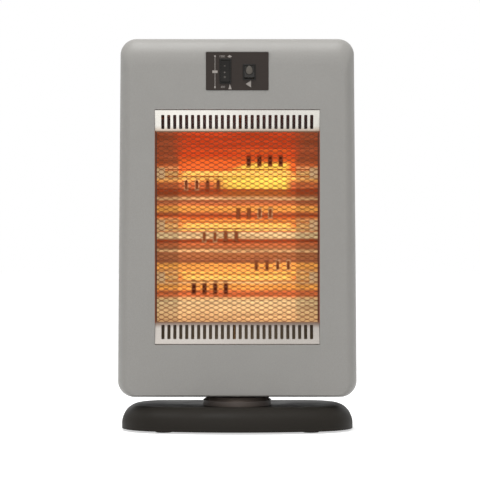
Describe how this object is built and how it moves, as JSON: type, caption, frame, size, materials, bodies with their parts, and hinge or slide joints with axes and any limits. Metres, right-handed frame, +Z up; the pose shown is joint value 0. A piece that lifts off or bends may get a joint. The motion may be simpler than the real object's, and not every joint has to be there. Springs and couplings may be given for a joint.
{
  "type": "radiant heater",
  "caption": "Upright radiant quartz heater with a guarded reflector, rocker switches and a head that swings on a neck above a bow-fronted base.",
  "frame": {"origin": "on the floor under the swing axis, at the centre of the base's underside", "axes": "+Z up along the swing axis, -Y towards the front that radiates, +X to the right seen from the front"},
  "size_m": [0.3426, 0.184, 0.5615],
  "materials": {
    "grey_shell": "moulded plastic with a fine satin grey paint",
    "black_plastic": "black moulded plastic, satin",
    "plate": "dark satin moulded plate",
    "rocker_black": "black rocker plastic",
    "rocker_grey": "dark grey rocker plastic",
    "bright_strip": "bright rolled aluminium",
    "guard_metal": "bright steel, warmed by the glow",
    "reflector_metal": "polished aluminium",
    "quartz": "clear quartz",
    "coil": "glowing resistance wire",
    "ceramic": "unglazed ceramic",
    "zinc_steel": "zinc-plated steel",
    "steel": "black oxide steel",
    "gear_nylon": "natural nylon",
    "rubber": "black rubber",
    "block": "ivory terminal plastic",
    "lead_skin": "heat-resistant sleeve",
    "lead_black": "black flexible lead"
  },
  "bodies": {
    "base": {"base_cover": "black_plastic", "neck": "black_plastic", "neck_screws": "zinc_steel", "bearing_bush": "gear_nylon", "base_plate": "black_plastic", "base_screws": "zinc_steel", "rubber_feet": "rubber", "ballast": "steel", "swing_motor": "zinc_steel", "motor_screws": "zinc_steel", "tip_switch": "rocker_black", "tip_screws": "zinc_steel", "plunger_spring": "zinc_steel", "cord_grommet": "rubber", "base_terminal": "block", "base_leads": "lead_skin", "swivel_lead": "lead_black"},
    "pinion": {"motor_pinion": "gear_nylon", "motor_shaft": "zinc_steel"},
    "plunger": {"tip_plunger": "block"},
    "selector": {"selector_rocker": "rocker_black"},
    "swing_toggle": {"swing_rocker": "rocker_grey"},
    "head": {"front_cover": "grey_shell", "rear_cover": "grey_shell", "cover_screws": "zinc_steel", "control_plate": "plate", "selector_switch": "rocker_black", "swing_switch": "rocker_black", "louvre_top": "bright_strip", "louvre_bottom": "bright_strip", "guard": "guard_metal", "reflector": "reflector_metal", "end_plate_left": "reflector_metal", "end_plate_right": "reflector_metal", "frame_screws": "zinc_steel", "quartz_tube_bottom": "quartz", "quartz_tube_middle": "quartz", "quartz_tube_top": "quartz", "heating_coil_bottom": "coil", "heating_coil_middle": "coil", "heating_coil_top": "coil", "ceramic_ends": "ceramic", "tube_clips": "zinc_steel", "heat_shield": "zinc_steel", "shield_screws": "zinc_steel", "thermal_cutout": "zinc_steel", "head_terminal": "block", "wiring_loom": "lead_skin", "swivel_shaft": "zinc_steel", "shaft_screws": "zinc_steel", "sector_gear": "gear_nylon", "swivel_washer": "zinc_steel", "swivel_nut": "zinc_steel"}
  },
  "joints": [
    {"name": "head_swivel", "type": "hinge", "parent": "base", "child": "head", "pos_m": [0, 0, 0.049], "axis": [0, 0, 1], "range_deg": [-35, 35]},
    {"name": "pinion_spin", "type": "hinge", "parent": "base", "child": "pinion", "pos_m": [0.05625, 0, 0.0265], "axis": [0, 0, 1], "range_deg": [-141, 141]},
    {"name": "tip_plunger_slide", "type": "slide", "parent": "base", "child": "plunger", "axis": [0, 0, -1], "range_m": [0, 0.004], "stiffness_N_per_m": 40, "springref_m": 0.008, "deforming": ["plunger_spring"]},
    {"name": "selector_tilt", "type": "hinge", "parent": "head", "child": "selector", "pos_m": [-0.017, -0.05, 0.5152], "axis": [1, 0, 0], "range_deg": [-12, 12]},
    {"name": "swing_toggle_tilt", "type": "hinge", "parent": "head", "child": "swing_toggle", "pos_m": [0.0171, -0.05, 0.5138], "axis": [1, 0, 0], "range_deg": [0, 16]}
  ],
  "couplings": [
    {"joint": "pinion_spin", "follows": "head_swivel", "ratio": -4}
  ]
}
